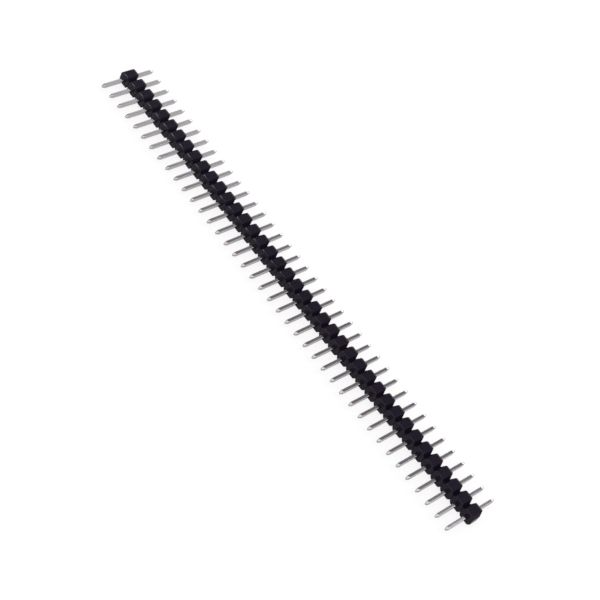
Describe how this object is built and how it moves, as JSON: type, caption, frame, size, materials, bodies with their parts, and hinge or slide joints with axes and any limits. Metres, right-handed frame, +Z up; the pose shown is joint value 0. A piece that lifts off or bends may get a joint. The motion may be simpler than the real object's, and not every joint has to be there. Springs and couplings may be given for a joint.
{
  "type": "pin header strip",
  "caption": "Breakaway row of square tin-plated pins pressed through a black moulded strip of joined octagonal units, which joins a circuit board to a socket.",
  "frame": {"origin": "midway along the row and midway along the pins, on the surface that the strip lies on", "axes": "+X along the row, +Y along the pins towards the board tails, +Z up from the side it lies on"},
  "size_m": [0.1016, 0.0116, 0.0025],
  "materials": {
    "housing_plastic": "moulded black glass-filled PBT, semi-matte",
    "pin_plating": "drawn square brass wire, tin plated, satin"
  },
  "bodies": {
    "root": {"housing": "housing_plastic", "pin_01": "pin_plating", "pin_02": "pin_plating", "pin_03": "pin_plating", "pin_04": "pin_plating", "pin_05": "pin_plating", "pin_06": "pin_plating", "pin_07": "pin_plating", "pin_08": "pin_plating", "pin_09": "pin_plating", "pin_10": "pin_plating", "pin_11": "pin_plating", "pin_12": "pin_plating", "pin_13": "pin_plating", "pin_14": "pin_plating", "pin_15": "pin_plating", "pin_16": "pin_plating", "pin_17": "pin_plating", "pin_18": "pin_plating", "pin_19": "pin_plating", "pin_20": "pin_plating", "pin_21": "pin_plating", "pin_22": "pin_plating", "pin_23": "pin_plating", "pin_24": "pin_plating", "pin_25": "pin_plating", "pin_26": "pin_plating", "pin_27": "pin_plating", "pin_28": "pin_plating", "pin_29": "pin_plating", "pin_30": "pin_plating", "pin_31": "pin_plating", "pin_32": "pin_plating", "pin_33": "pin_plating", "pin_34": "pin_plating", "pin_35": "pin_plating", "pin_36": "pin_plating", "pin_37": "pin_plating", "pin_38": "pin_plating", "pin_39": "pin_plating", "pin_40": "pin_plating"}
  },
  "joints": []
}
